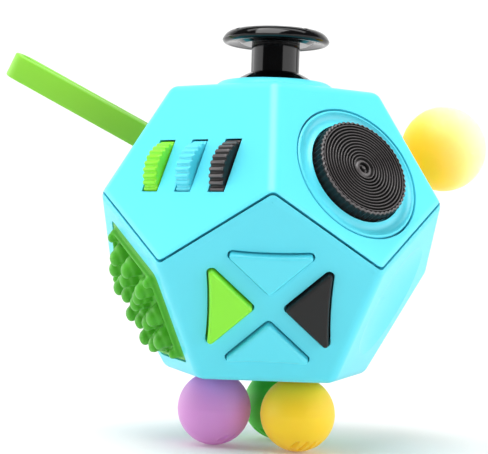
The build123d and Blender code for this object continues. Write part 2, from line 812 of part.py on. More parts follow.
def slider_features():
    length, width = slider_slot
    recess = fillet(block(length + 5, 10.4, -0.9, 1).edges().filter_by(Axis.Z), 2.4)
    slot = fillet(block(length, width, -5, 1).edges().filter_by(Axis.Z), 2.1)
    backing = block(length + 7, 12.6, -2.8, -wall + 0.2)
    return [backing], [recess, slot]


def slider_knob():
    """Grooved thumb pad on a stem that passes through the slot."""
    length, width = slider_slot
    pad = fillet(block(5.6, 9.4, -0.75, 2.0).edges().filter_by(Axis.Z), 1.6)
    pad = fillet(pad.edges().group_by(Axis.Z)[-1], 0.5)
    for k in range(-2, 3):
        pad -= Pos(k * 1.0, 0, 2.1) * Rot(90, 0, 0) * Cylinder(0.3, 12)
    stem = fillet(block(length - 2 * slider_travel - 0.5, width - 0.3, -4.4, -0.7).edges()
                  .filter_by(Axis.Z), 1.5)
    return pad + stem


def slider_foot():
    """Plate behind the wall that holds the slider's knob in its slot."""
    plate = block(8.6, 8.6, -4.6, -2.95)
    return plate - fillet(block(5.5, 4.1, -4.4, -2).edges().filter_by(Axis.Z), 1.5)


# ---------------------------------------------------------------- balls under the body

def ball_spots():
    return {name: (ball_ring_r * cos(radians(a)), -ball_ring_r * sin(radians(a)))
            for name, a in ball_places.items()}


def bottom_features():
    """Cup and stem hole for each ball."""
    cups = []
    for x, y in ball_spots().values():
        cups.append(Pos(x, y, ball_h - ball_press) * Sphere(ball_r + 0.3))
        cups.append(rod(ball_stem_r + 0.15, -6, 0, x, y))
    return [rod(4.0, -4.6, -wall + 0.2, x, y) for x, y in ball_spots().values()], cups


def stalked_ball(x, y):
    """Silicone ball on a short stalk with a mushroom tail behind the wall."""
    ball = Sphere(ball_r)
    stalk = rod(ball_stem_r, -ball_h - 5.0, -ball_r + 1.0)
    tail = turned([(0, -ball_h - 4.7), (2.3, -ball_h - 4.7), (2.3, -ball_h - 5.3), (1.2, -ball_h - 6.8),
                   (0, -ball_h - 6.8)])
    return Pos(x, y, ball_h) * (ball + stalk + tail)


# ---------------------------------------------------------------- assembly

face_features = {"gears": gear_features, "dial": dial_features, "side_ball": side_ball_features,
                 "switch": switch_features, "strap": strap_features, "buttons": button_features,
                 "dish": dish_features, "spinner": spinner_features, "slider": slider_features,
                 "pad": pad_features}


def all_screws():
    groups = [(seats["gears"], gear_screws, bracket_top), (top_seat, stick_posts, -stick_base),
              (seats["strap"], strap_screws, bracket_top),
              (seats["side_ball"], side_ball_screws, bracket_top),
              (seats["pad"], pad_screws, bracket_top)]
    screws = []
    for place, spots, depth in groups:
        screws += [place * bracket_screw(x, y, depth) for x, y in spots]
    screws.append(seats["buttons"] * bracket_screw(*button_centre))
    return Compound(children=screws)


def nodes():
    upper, lower = body_halves()
    made = {"upper_shell": upper, "lower_shell": lower, "shell_dowels": shell_dowels(),
            "bracket_screws": all_screws()}
    for colour, x in wheel_places.items():
        made["gear_wheel_" + colour] = seats["gears"] * gear_wheel(x)
    for side, turn in button_turns.items():
        made["button_" + side] = seats["buttons"] * button(turn)
        made["button_dome_" + side] = seats["buttons"] * button_dome(turn)
    for colour, (x, y) in ball_spots().items():
        made["ball_" + colour] = bottom_seat * stalked_ball(x, y)
    by_face = {
        "gears": (gear_axle, gear_cradle),
        "dial": (dial_bezel, dial_disc, dial_washer, dial_screw, dial_retaining_clip,
                 dial_click_spring),
        "strap": (strap_loop, strap_pin, strap_keeper),
        "side_ball": (side_ball, side_ball_neck, side_ball_socket),
        "switch": (switch_frame, switch_rocker, switch_pin, switch_leaf_spring),
        "buttons": (button_tray,),
        "pad": (textured_pad, pad_backing_plate),
        "spinner": (spinner_post, spinner_bearing_inner, spinner_bearing_outer,
                    spinner_bearing_balls, spinner_rotor, spinner_weights, spinner_cap),
        "slider": (slider_knob, slider_foot),
    }
    for face, makers in by_face.items():
        for maker in makers:
            made[maker.__name__] = seats[face] * maker()
    for maker in (joystick_stem, joystick_cap, joystick_gimbal, joystick_pin, joystick_housing,
                  joystick_spring):
        made[maker.__name__] = top_seat * maker()
    return made


os.makedirs("parts", exist_ok=True)
for name, shape in nodes().items():
    export_step(Pos(*stand_shift) * shape, "parts/" + name + ".step")
    print(name, round(shape.volume, 1))
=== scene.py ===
from math import asin, cos, degrees, hypot, pi, radians, sin, sqrt

import bmesh
import bpy
from mathutils import Matrix, Vector


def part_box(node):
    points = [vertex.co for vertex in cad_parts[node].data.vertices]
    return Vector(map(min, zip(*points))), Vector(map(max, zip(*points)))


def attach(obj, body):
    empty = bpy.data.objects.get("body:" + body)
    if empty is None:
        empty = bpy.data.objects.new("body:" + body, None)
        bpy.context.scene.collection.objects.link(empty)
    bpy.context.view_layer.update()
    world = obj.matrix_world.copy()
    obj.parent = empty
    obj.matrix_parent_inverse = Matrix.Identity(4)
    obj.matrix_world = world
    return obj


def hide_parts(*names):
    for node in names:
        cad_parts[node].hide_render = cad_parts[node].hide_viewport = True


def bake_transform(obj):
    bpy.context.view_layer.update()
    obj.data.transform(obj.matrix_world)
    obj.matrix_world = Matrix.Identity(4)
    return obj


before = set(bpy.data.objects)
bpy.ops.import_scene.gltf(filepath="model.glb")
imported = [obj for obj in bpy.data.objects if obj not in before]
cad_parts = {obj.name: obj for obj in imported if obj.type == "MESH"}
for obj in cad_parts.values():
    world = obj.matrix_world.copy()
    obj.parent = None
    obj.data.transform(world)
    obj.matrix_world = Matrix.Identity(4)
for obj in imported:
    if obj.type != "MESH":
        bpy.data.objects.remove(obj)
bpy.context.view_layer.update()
print("frame: %d CAD nodes" % len(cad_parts))

mm = 0.001

# the body is a dodecahedron; a side face is known by where its normal points, degrees from +X
body = {
    "inradius": 26.0,  # centre to every face, mm
    "tilt": degrees(asin(1 / sqrt(5))),  # how far the side faces look up or down
    "up": {"dial": -54, "sideBall": 18, "switch": 90, "strap": 162, "wheels": -126},
    "down": {"buttons": -90, "dish": -18, "spinner": 54, "slider": 126, "pad": -162},
}


def bodyCentre():
    low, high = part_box("lower_shell")
    upperLow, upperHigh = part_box("upper_shell")
    across = (min(low.x, upperLow.x) + max(high.x, upperHigh.x)) / 2
    deep = (min(low.y, upperLow.y) + max(high.y, upperHigh.y)) / 2
    return Vector((across, deep, low.z + body["inradius"] * mm))


centre = bodyCentre()


# a face's own frame in millimetres: z out of the face, y up it, x to the right seen from outside
def faceFrame(face):
    if face in ("top", "bottom"):
        out = Vector((0, 0, 1 if face == "top" else -1))
        right = Vector((1, 0, 0))
        up = out.cross(right)
    else:
        azimuth = radians(body["up"].get(face, body["down"].get(face)))
        rise = radians(body["tilt"] if face in body["up"] else -body["tilt"])
        out = Vector((cos(rise) * cos(azimuth), cos(rise) * sin(azimuth), sin(rise)))
        up = (Vector((0, 0, 1)) - out * out.z).normalized()
        right = up.cross(out)
    turn = Matrix((right, up, out)).transposed().to_4x4()
    return Matrix.Translation(centre + out * body["inradius"] * mm) @ turn @ Matrix.Scale(mm, 4)


def meshPiece(name, points, faces, place, material, sharp=40):
    mesh = bpy.data.meshes.new(name)
    mesh.from_pydata([place @ Vector(p) for p in points], [], faces)
    mesh.validate()
    tidy = bmesh.new()
    tidy.from_mesh(mesh)
    bmesh.ops.recalc_face_normals(tidy, faces=tidy.faces)
    tidy.to_mesh(mesh)
    tidy.free()
    mesh.shade_smooth()
    mesh.set_sharp_from_angle(angle=radians(sharp))
    piece = bpy.data.objects.new(name, mesh)
    bpy.context.scene.collection.objects.link(piece)
    mesh.materials.append(material)
    return piece


# rings of points joined by quads; a ring of one point is a pole
def ringMesh(rings, closed=False):
    points, starts = [], []
    for ring in rings:
        starts.append(len(points))
        points += ring
    faces = []
    pairs = list(zip(range(len(rings)), range(1, len(rings))))
    if closed:
        pairs.append((len(rings) - 1, 0))
    for a, b in pairs:
        n = max(len(rings[a]), len(rings[b]))
        for k in range(n):
            j = (k + 1) % n
            one = [starts[a] + (k if len(rings[a]) > 1 else 0), starts[a] + (j if len(rings[a]) > 1 else 0)]
            two = [starts[b] + (j if len(rings[b]) > 1 else 0), starts[b] + (k if len(rings[b]) > 1 else 0)]
            face = []
            for i in one + two:
                if i not in face:
                    face.append(i)
            faces.append(face)
    return points, faces


# turned piece from (radius, height) points; ripple changes a radius by angle, for ribs and knurls
def turned(profile, steps, ripple=None, closed=False):
    rings = []
    for radius, height in profile:
        if radius < 1e-6:
            rings.append([(0, 0, height)])
            continue
        ring = []
        for k in range(steps):
            angle = 2 * pi * k / steps
            r = ripple(angle, radius, height) if ripple else radius
            ring.append((r * cos(angle), r * sin(angle), height))
        rings.append(ring)
    return ringMesh(rings, closed)


# smooth line through (radius, height) points, as a turned outline is drawn with a spline
def splined(points, steps=6):
    ends = [points[0]] + list(points) + [points[-1]]
    line = []
    for a, b, c, d in zip(ends, ends[1:], ends[2:], ends[3:]):
        for k in range(steps):
            t = k / steps
            line.append(tuple(
                0.5 * (2 * q + (r - p) * t + (2 * p - 5 * q + 4 * r - s) * t * t
                       + (3 * q - p - 3 * r + s) * t ** 3)
                for p, q, r, s in zip(a, b, c, d)))
    return line + [points[-1]]


def smoothStep(x, low, high):
    t = min(1, max(0, (x - low) / (high - low)))
    return t * t * (3 - 2 * t)


def linear(hexColour):
    channels = [int(hexColour[i:i + 2], 16) / 255 for i in (1, 3, 5)]
    return [c / 12.92 if c <= 0.04045 else ((c + 0.055) / 1.055) ** 2.4 for c in channels] + [1]


def addNode(tree, kind, settings=None, links=None):
    node = tree.nodes.new(kind)
    for key, value in (settings or {}).items():
        if isinstance(key, str) and hasattr(node, key):
            setattr(node, key, value)
        else:
            node.inputs[key].default_value = value
    for key, source in (links or {}).items():
        tree.links.new(source, node.inputs[key])
    return node


def newMaterial(name, constants):
    material = bpy.data.materials.new(name)
    material.use_nodes = True
    tree = material.node_tree
    shader = tree.nodes["Principled BSDF"]
    for socket, value in constants.items():
        shader.inputs[socket].default_value = value
    return material, tree, shader


# ABS, injection moulded in a finely spark-eroded tool: even satin colour, the grain only in the gloss
def mouldedAbs(name, look):
    material, tree, shader = newMaterial(name, {"IOR": 1.54, "Specular IOR Level": look.get("specular", 0.5)})
    place = addNode(tree, "ShaderNodeTexCoord").outputs["Object"]
    flow = addNode(tree, "ShaderNodeTexNoise", {"Scale": 1 / (look["flow"] * mm), "Detail": 2},
                   {"Vector": place}).outputs["Fac"]
    colour = addNode(tree, "ShaderNodeMix", {"data_type": "RGBA", 6: linear(look["colour"]),
                                             7: linear(look["flowColour"])}, {0: flow})
    grain = addNode(tree, "ShaderNodeTexNoise", {"Scale": 1 / (look["grain"] * mm), "Detail": 3},
                    {"Vector": place}).outputs["Fac"]
    gloss = addNode(tree, "ShaderNodeMapRange", {"To Min": look["rough"][0], "To Max": look["rough"][1]},
                    {"Value": grain})
    softEdge = addNode(tree, "ShaderNodeBevel", {"samples": 6, "Radius": look["edge"] * mm})
    relief = addNode(tree, "ShaderNodeBump", {"Strength": look["relief"], "Distance": 0.02 * mm},
                     {"Height": grain, "Normal": softEdge.outputs["Normal"]})
    tree.links.new(colour.outputs[2], shader.inputs["Base Color"])
    tree.links.new(gloss.outputs["Result"], shader.inputs["Roughness"])
    tree.links.new(relief.outputs["Normal"], shader.inputs["Normal"])
    return material


# silicone rubber, compression moulded: light goes a little way in, so shadows glow with its own colour;
# its emission is a painted glow that keeps the yellow and lilac bright where less light reaches them
def mouldedSilicone(name, look):
    material, tree, shader = newMaterial(name, {
        "IOR": 1.41, "Subsurface Weight": look["glow"], "Subsurface Scale": look["depth"] * mm,
        "Subsurface Radius": look["spread"], "Sheen Weight": 0.08, "Sheen Roughness": 0.5,
        "Emission Color": linear(look["paintedGlow"][0]), "Emission Strength": look["paintedGlow"][1]})
    place = addNode(tree, "ShaderNodeTexCoord").outputs["Object"]
    cloud = addNode(tree, "ShaderNodeTexNoise", {"Scale": 1 / (look["cloud"] * mm), "Detail": 3},
                    {"Vector": place}).outputs["Fac"]
    colour = addNode(tree, "ShaderNodeMix", {"data_type": "RGBA", 6: linear(look["colour"]),
                                             7: linear(look["cloudColour"])}, {0: cloud})
    if "paintedLightEnd" in look:  # painted light: a paler colour toward its free end, darker near the body as painted shade
        out = faceFrame(look["paintedLightEnd"]).to_3x3().col[2].normalized()
        along = addNode(tree, "ShaderNodeVectorMath", {"operation": "DOT_PRODUCT", 1: tuple(out)}, {0: place})
        foot = centre.dot(out) + body["inradius"] * mm
        share = addNode(tree, "ShaderNodeMapRange", {"interpolation_type": "SMOOTHSTEP",
                                                     "From Min": foot + look["paintedLightFrom"] * mm,
                                                     "From Max": foot + look["paintedLightTo"] * mm},
                        {"Value": along.outputs["Value"]})
        colour = addNode(tree, "ShaderNodeMix", {"data_type": "RGBA", 7: linear(look["paintedLightColour"])},
                         {0: share.outputs["Result"], 6: colour.outputs[2]})
    grain = addNode(tree, "ShaderNodeTexNoise", {"Scale": 1 / (look["grain"] * mm), "Detail": 4},
                    {"Vector": place}).outputs["Fac"]
    gloss = addNode(tree, "ShaderNodeMapRange", {"To Min": look["rough"][0], "To Max": look["rough"][1]},
                    {"Value": grain})
    relief = addNode(tree, "ShaderNodeBump", {"Strength": look["relief"], "Distance": 0.03 * mm},
                     {"Height": grain})
    tree.links.new(colour.outputs[2], shader.inputs["Base Color"])
    tree.links.new(gloss.outputs["Result"], shader.inputs["Roughness"])
    tree.links.new(relief.outputs["Normal"], shader.inputs["Normal"])
    return material


# steel, turned or drawn: fine lines round or along the piece spread the highlight
def drawnSteel(name, look):
    material, tree, shader = newMaterial(name, {"Metallic": 1})
    place = addNode(tree, "ShaderNodeTexCoord").outputs["Object"]
    stretch = addNode(tree, "ShaderNodeMapping", {"Scale": (1, 1, look["stretch"])}, {"Vector": place})
    lines = addNode(tree, "ShaderNodeTexNoise", {"Scale": 1 / (look["line"] * mm), "Detail": 5},
                    {"Vector": stretch.outputs["Vector"]}).outputs["Fac"]
    colour = addNode(tree, "ShaderNodeMix", {"data_type": "RGBA", 6: linear(look["colour"]),
                                             7: linear(look["shade"])}, {0: lines})
    gloss = addNode(tree, "ShaderNodeMapRange", {"To Min": look["rough"][0], "To Max": look["rough"][1]},
                    {"Value": lines})
    relief = addNode(tree, "ShaderNodeBump", {"Strength": 0.1, "Distance": 0.01 * mm}, {"Height": lines})
    tree.links.new(colour.outputs[2], shader.inputs["Base Color"])
    tree.links.new(gloss.outputs["Result"], shader.inputs["Roughness"])
    tree.links.new(relief.outputs["Normal"], shader.inputs["Normal"])
    return material


mouldedLook = {"flow": 9.0, "grain": 0.22, "rough": (0.32, 0.44), "edge": 0.12, "relief": 0.12}
plasticLooks = {
    "cyanAbs": {"colour": "#56DAEC", "flowColour": "#5ADEF0"},
    "greenAbs": {"colour": "#86E81F", "flowColour": "#8CEC27"},
    "blackAbs": {"colour": "#1A1919", "flowColour": "#1F1E1E", "rough": (0.36, 0.48), "specular": 0.25},
    # a grey copy of black ABS: painted highlight on the dial's outward facets and the black wheel's bars
    "paintedHighlightBlackAbs": {"colour": "#484344", "flowColour": "#4C4748", "rough": (0.34, 0.46), "specular": 0.7},
    "polishedBlackAbs": {"colour": "#040405", "flowColour": "#080809", "grain": 1.5, "rough": (0.08, 0.12),
                         "relief": 0.02, "specular": 0.28},
    "naturalNylon": {"colour": "#DAD9CE", "flowColour": "#E4E3DA", "rough": (0.42, 0.6)},
}
# the emission given to the yellow and lilac silicone below is a painted glow
siliconeLooks = {
    "greenSilicone": {"colour": "#48AA1A", "cloudColour": "#4EB220", "glow": 0.05, "spread": (0.5, 1.0, 0.2)},
    # the strap's and side ball's paler free ends are painted light, the part near the body darker as painted
    # shade
    "limeSilicone": {"colour": "#70AC26", "cloudColour": "#76B22C", "glow": 0.25, "spread": (0.7, 1.0, 0.2),
                     "paintedLightEnd": "strap", "paintedLightFrom": 2, "paintedLightTo": 36, "paintedLightColour": "#88D036"},
    "brightGreenSilicone": {"colour": "#46CC2C", "cloudColour": "#50D434", "glow": 0.3,
                            "spread": (0.4, 1.0, 0.2)},
    "yellowSilicone": {"colour": "#F4D020", "cloudColour": "#F6D62C", "glow": 0.35, "spread": (1.0, 0.6, 0.1),
                       "paintedGlow": ("#FF8200", 0.1)},
    "paleYellowSilicone": {"colour": "#FFC00A", "cloudColour": "#FFC614", "glow": 0.9, "depth": 4.5,
                           "spread": (1.0, 0.6, 0.12), "paintedLightEnd": "sideBall", "paintedLightFrom": 6, "paintedLightTo": 19,
                           "paintedLightColour": "#FFF6C4", "paintedGlow": ("#FFAE10", 0.3)},
    "lilacSilicone": {"colour": "#D090D2", "cloudColour": "#D498D6", "glow": 0.3, "spread": (1.0, 0.5, 0.9),
                      "paintedGlow": ("#FF5AC8", 0.06)},
    "clearSilicone": {"colour": "#C9C8BE", "cloudColour": "#D2D1C8", "glow": 0.6, "spread": (1.0, 0.9, 0.8)},
}
rubberLook = {"paintedGlow": ("#000000", 0), "cloud": 6.0, "grain": 0.3, "rough": (0.42, 0.56), "relief": 0.15,
              "depth": 1.6}
steelLooks = {
    "turnedSteel": {"colour": "#B9BABC", "shade": "#9C9DA0", "line": 0.15, "stretch": 0.1,
                    "rough": (0.2, 0.34)},
    "springSteel": {"colour": "#8E8F94", "shade": "#74757B", "line": 0.1, "stretch": 0.2,
                    "rough": (0.26, 0.4)},
}
finishes = {name: mouldedAbs(name, {**mouldedLook, **look}) for name, look in plasticLooks.items()}
finishes.update({name: mouldedSilicone(name, {**rubberLook, **look}) for name, look in siliconeLooks.items()})
finishes.update({name: drawnSteel(name, look) for name, look in steelLooks.items()})

# what each CAD piece is moulded or turned from
cadFinishes = {
    "cyanAbs": ["upper_shell", "lower_shell", "dial_bezel", "switch_frame", "button_top", "button_bottom",
                "gear_wheel_blue"],
    "greenAbs": ["button_left", "spinner_rotor", "gear_wheel_green"],
    "blackAbs": ["button_right", "dial_disc", "switch_rocker", "slider_knob", "spinner_cap",
                 "gear_wheel_black"],
    "polishedBlackAbs": ["joystick_stem", "joystick_cap"],
    "naturalNylon": ["gear_cradle", "joystick_housing", "joystick_gimbal", "strap_keeper",
                     "side_ball_socket", "button_tray", "pad_backing_plate", "slider_foot"],
    "clearSilicone": ["button_dome_top", "button_dome_left", "button_dome_right", "button_dome_bottom"],
    "turnedSteel": ["shell_dowels", "bracket_screws", "gear_axle", "dial_washer", "dial_screw",
                    "joystick_pin", "strap_pin", "switch_pin", "spinner_post", "spinner_bearing_inner",
                    "spinner_bearing_outer", "spinner_bearing_balls", "spinner_weights"],
    "springSteel": ["joystick_spring", "dial_retaining_clip", "dial_click_spring", "switch_leaf_spring"],
    "greenSilicone": ["textured_pad"],
    "limeSilicone": ["strap_loop"],
    "brightGreenSilicone": ["ball_green"],
    "yellowSilicone": ["ball_yellow"],
    "paleYellowSilicone": ["side_ball", "side_ball_neck"],
    "lilacSilicone": ["ball_purple"],
}
for finish, nodes in cadFinishes.items():
    for node in nodes:
        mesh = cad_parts[node].data
        mesh.materials.clear()
        mesh.materials.append(finishes[finish])
print("materials:", len(finishes))


wheel = {"radius": 6.25, "width": 3.0, "ribs": 32, "grooveDepth": 0.36, "grooveShare": 0.36,
         "depth": 4.0, "up": -0.75, "bore": 1.05, "rimRound": 0.3, "recessRadius": 3.4, "recess": 0.35,
         "across": {"green": -7.5, "blue": -0.25, "black": 7.0}}


def wheelRadius(angle, radius, height):
    if radius < wheel["radius"] - 0.9:
        return radius
    turn = angle * wheel["ribs"] / (2 * pi)
    off = abs(turn - round(turn))  # 0 in the middle of a groove, 0.5 on a rib
    groove = 1 - smoothStep(off, wheel["grooveShare"] * 0.3, wheel["grooveShare"])
    return radius - wheel["grooveDepth"] * groove


# rounded bars across the rim, and plain flat sides with a recess round the axle
def thumbWheel(colour, finish):
    r, half, soft = wheel["radius"], wheel["width"] / 2, wheel["rimRound"]
    rim = [(r - soft + soft * sin(radians(a)), half - soft + soft * cos(radians(a)))
           for a in range(0, 91, 18)]
    low, floor = wheel["recessRadius"], half - wheel["recess"]
    side = [(wheel["bore"], floor), (low - 0.2, floor), (low, half - 0.05), (low + 0.15, half),
            (r - soft - 0.12, half)] + rim
    outline = side + [(x, -z) for x, z in reversed(side)]
    points, faces = turned(outline, wheel["ribs"] * 12, wheelRadius, closed=True)
    spot = Matrix.Translation((wheel["across"][colour], wheel["up"], -wheel["depth"]))
    place = faceFrame("wheels") @ spot @ Matrix.Rotation(pi / 2, 4, "Y")
    piece = meshPiece("thumbWheel" + colour.capitalize(), points, faces, place, finishes[finish])
    if colour == "black":  # grey painted highlight on the bars, plain black in the grooves
        piece.data.materials.append(finishes["blackAbs"])
        for face in piece.data.polygons:
            local = place.inverted() @ face.center
            face.material_index = 1 if hypot(local.x, local.y) < r - 0.5 * wheel["grooveDepth"] else 0
    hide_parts("gear_wheel_" + colour)
    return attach(piece, "gear_" + colour)


thumbWheel("green", "greenAbs")
thumbWheel("blue", "cyanAbs")
thumbWheel("black", "paintedHighlightBlackAbs")
print("thumb wheels")


dial = {"across": 0.75, "up": -1.1, "radius": 9.1, "proud": 2.0, "ridges": 12, "ridgeDepth": 0.5,
        "firstRidge": 1.75, "knurls": 54, "knurlDepth": 0.24, "nubRadius": 0.42, "moatRadius": 1.0,
        "spindleRadius": 2.0, "spindleEnd": -7.2, "skirtRadius": 8.7, "skirtEnd": -2.2,
        "cuts": 8,  # points across one ridge
        "paintedHighlightAbove": 0.6}  # a facet that faces out more than this gets the grey painted highlight


def dialRadius(angle, radius, height):
    if radius < dial["radius"] - 0.4 or height < -0.4:
        return radius
    return radius - dial["knurlDepth"] * (0.5 - 0.5 * cos(angle * dial["knurls"])) ** 0.7


# a crown of round ridges parted by sharp valleys, and a small dome in a deep moat at the centre
def turningDial():
    r, top = dial["radius"], dial["proud"]
    edge = r - 0.55
    pitch = (edge - dial["firstRidge"]) / dial["ridges"]
    crown = []
    for k in range(dial["ridges"] * dial["cuts"] + 1):
        x = k / dial["cuts"]
        crown.append((edge - x * pitch, top - dial["ridgeDepth"] * abs(cos(pi * x)) ** 3))
    moat, nub = dial["moatRadius"], dial["nubRadius"]
    hub = splined([(moat + 0.35, top - 0.1), (moat + 0.12, top - 0.08), (moat, top - 0.3),
                   (moat - 0.1, top - 0.75), (nub + 0.2, top - 0.8), (nub, top - 0.5),
                   (nub * 0.7, top - 0.18), (0, top - 0.05)], 5)
    spindle, end = dial["spindleRadius"], dial["spindleEnd"]
    skirt, under = dial["skirtRadius"], dial["skirtEnd"]
    outline = [(0, end), (spindle - 0.1, end), (spindle, end + 0.1), (spindle, under), (skirt, under),
               (skirt + 0.05, -0.9), (r - 0.05, -0.45), (r, -0.2), (r, 0.4), (r, 1.0), (r, top - 0.4),
               (r - 0.06, top - 0.18), (r - 0.2, top - 0.04), (r - 0.4, top)] + crown + hub
    points, faces = turned(outline, dial["knurls"] * 8, dialRadius)
    place = faceFrame("dial") @ Matrix.Translation((dial["across"], dial["up"], 0))
    piece = meshPiece("ridgedDial", points, faces, place, finishes["paintedHighlightBlackAbs"])
    piece.data.materials.append(finishes["blackAbs"])  # plain black on the side and in the valleys, darker than the grey painted highlight
    out = place.to_3x3().col[2].normalized()
    for face in piece.data.polygons:
        face.material_index = 1 if face.normal.dot(out) < dial["paintedHighlightAbove"] else 0
    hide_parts("dial_disc")
    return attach(piece, "dial")


turningDial()
print("dial")


ball = {"radius": 6.7, "height": 6.4, "ringRadius": 9.24, "stalk": 1.5, "reach": 11.2,
        "grooves": 5, "groovePitch": 1.55, "grooveWidth": 0.5, "grooveDepth": 0.42, "grooveFrom": 2.3,
        "grooveTo": 4.8, "partingLine": 0.03, "stopRadius": 2.3, "stopRim": 0.5, "stopHeight": 1.4,
        "sides": 220, "fineStep": 0.022, "fineTo": 0.95, "coarseStep": 0.06,
        "turns": {"purple": 191, "yellow": -49, "green": 71},
        "markTurns": {"purple": -70, "yellow": -38, "green": 80}}


# depth of the slanted grip grooves at a place seen from the ball's outer pole
def gripGroove(x, y, turn):
    a, b = cos(turn) * x + sin(turn) * y, cos(turn) * y - sin(turn) * x
    row = a / ball["groovePitch"]
    off = abs(row - round(row)) * ball["groovePitch"]
    if abs(round(row)) > ball["grooves"] // 2 or b < 0:
        return 0
    across = 1 - smoothStep(off, ball["grooveWidth"] * 0.2, ball["grooveWidth"] * 0.75)
    along = smoothStep(b, ball["grooveFrom"] - 0.3, ball["grooveFrom"] + 0.1)
    inside = 1 - smoothStep(hypot(x, y), ball["grooveTo"], ball["grooveTo"] + 0.4)
    return ball["grooveDepth"] * across * along * inside


def standingBall(colour, finish):
    r, steps = ball["radius"], ball["sides"]
    turn = radians(ball["markTurns"][colour])
    rings = [[(0, 0, r)]]
    polar = 0.0
    neck = asin(ball["stalk"] / r)
    while True:  # finer rings round the outer pole, where the grooves are
        polar += ball["fineStep"] if polar < ball["fineTo"] else ball["coarseStep"]
        if polar > pi - neck:
            break
        ring = []
        for k in range(steps):
            angle = 2 * pi * k / steps
            x, y = sin(polar) * cos(angle) * r, sin(polar) * sin(angle) * r
            depth = gripGroove(x, y, turn) if polar < pi / 2 else 0
            swell = ball["partingLine"] * max(0, 1 - abs(polar - pi / 2) / 0.07)
            ring.append(tuple(c * (r - depth + swell) / r for c in (x, y, cos(polar) * r)))
        rings.append(ring)
    stalk, foot, stop = ball["stalk"], -ball["reach"], ball["stopRadius"]
    stem = splined([(stalk + 0.25, -r + 0.35), (stalk, -r - 0.2), (stalk, -r - 2), (stalk, foot)], 3)
    for radius, height in stem + [(stop, foot), (stop, foot - ball["stopRim"])]:  # the stalk and its end stop
        rings.append([(radius * cos(2 * pi * k / steps), radius * sin(2 * pi * k / steps), height)
                      for k in range(steps)])
    rings.append([(0, 0, foot - ball["stopHeight"])])
    points, faces = ringMesh(rings)
    around = radians(ball["turns"][colour])
    spot = (ball["ringRadius"] * cos(around), -ball["ringRadius"] * sin(around), ball["height"])
    place = faceFrame("bottom") @ Matrix.Translation(spot)
    piece = meshPiece("squeezeBall" + colour.capitalize(), points, faces, place, finishes[finish], 60)
    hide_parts("ball_" + colour)
    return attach(piece, "ball_" + colour)


standingBall("purple", "lilacSilicone")
standingBall("yellow", "yellowSilicone")
standingBall("green", "brightGreenSilicone")

sideBall = {"radius": 8.1, "height": 12.8, "neck": 1.5, "rootDepth": -2.6, "rootRadius": 3.15,
            "tipHeight": 6.3, "tipRadius": 2.55, "mouthRadius": 2.6, "mouthHeight": 5.0}


def pullBall():
    r, high = sideBall["radius"], sideBall["height"]
    seat, seatRadius = sideBall["tipHeight"] - high, sideBall["tipRadius"] + 0.12
    mouth, lip = sideBall["mouthRadius"], sideBall["mouthHeight"] - high
    outline = [(0, r)]
    polar = 0.0
    while r * sin(polar) > mouth + 0.3 or polar < 1:
        polar += 0.05
        swell = 0.03 * max(0, 1 - abs(polar - pi / 2) / 0.06)  # the mould's parting line
        outline.append(((r + swell) * sin(polar), (r + swell) * cos(polar)))
    outline += [(mouth, lip), (mouth - 0.25, lip + 0.35)]
    outline += [(seatRadius * cos(radians(a)), seat + seatRadius * sin(radians(a)))
                for a in range(-20, 80, 10)]
    points, faces = turned(outline + [(0, seat + seatRadius)], 96)
    place = faceFrame("sideBall") @ Matrix.Translation((0, 0, high))
    piece = meshPiece("pullBall", points, faces, place, finishes["paleYellowSilicone"], 60)
    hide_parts("side_ball")
    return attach(piece, "side_ball")


# the neck is one stretch of silicone, made in two halves that meet in its middle
def neckHalf(name, outline):
    points, faces = turned(splined(outline, 8), 64)
    place = faceFrame("sideBall")
    piece = meshPiece(name, points, faces, place, finishes["paleYellowSilicone"], 80)
    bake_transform(piece)
    return piece


def pullNeck():
    root, tip = sideBall["rootDepth"], sideBall["tipHeight"]
    thick, wide, end = sideBall["neck"], sideBall["rootRadius"], sideBall["tipRadius"]
    middle = (root + tip) / 2 + 0.4
    rootHalf = neckHalf("pullNeckRoot", [(0, root - wide), (wide * 0.8, root - wide * 0.6), (wide, root),
                                         (wide * 0.75, root + wide * 0.7), (thick + 0.15, root + wide + 0.3),
                                         (thick, middle), (thick * 0.7, middle + 0.12), (0, middle + 0.15)])
    neckHalf("pullNeckTip", [(0, middle - 0.15), (thick * 0.7, middle - 0.12), (thick, middle),
                             (thick + 0.1, tip - end), (end * 0.75, tip - end * 0.7), (end, tip),
                             (end * 0.75, tip + end * 0.68), (0, tip + end)])
    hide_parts("side_ball_neck")


pullBall()
pullNeck()
print("balls")


strap = {"up": 4.3, "width": 4.9, "reach": 36.6, "thick": 1.3, "farRadius": 2.8, "eyeRadius": 1.9,
         "pinRadius": 0.84, "pivot": -2.6, "slit": 0.12, "openFrom": 4.0, "edgeRound": 0.42,
         "bendTo": 7.0, "rows": 60}


